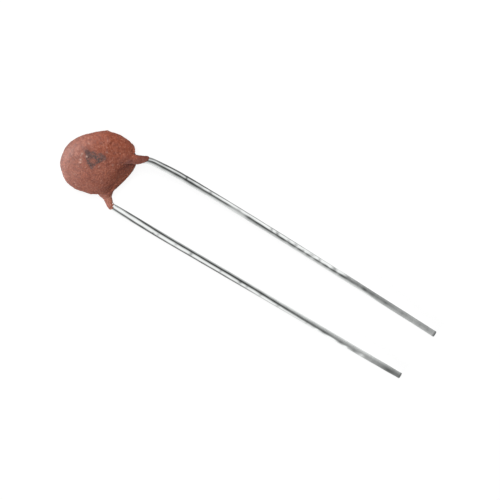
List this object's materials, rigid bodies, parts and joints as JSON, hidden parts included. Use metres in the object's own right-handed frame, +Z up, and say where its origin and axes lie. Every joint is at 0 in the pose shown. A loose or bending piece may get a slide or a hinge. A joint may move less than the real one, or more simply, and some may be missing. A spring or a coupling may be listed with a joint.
{
  "type": "ceramic disc capacitor",
  "caption": "Ceramic disc capacitor: round resin-dipped body with two long, kinked wire leads on a 5 mm pitch, lying flat as it comes to rest.",
  "frame": {"origin": "centre of the part's box, on the surface that it lies on", "axes": "+X along the leads, from the body to the tips; +Z up from the surface, out of the front face of the disc; the front lead is on the +Y side"},
  "size_m": [0.04, 0.0056, 0.0022],
  "materials": {
    "resin": "matte dipped resin, finely grained",
    "ceramic": "fired, unglazed",
    "silver": "fired silver, dull",
    "solder": "solder, satin",
    "tinned_wire": "bright tinned"
  },
  "bodies": {
    "root": {"resin_coating": "resin", "ceramic_disc": "ceramic", "electrode_front": "silver", "electrode_back": "silver", "solder_front": "solder", "solder_back": "solder", "lead_front": "tinned_wire", "lead_back": "tinned_wire"}
  },
  "joints": []
}
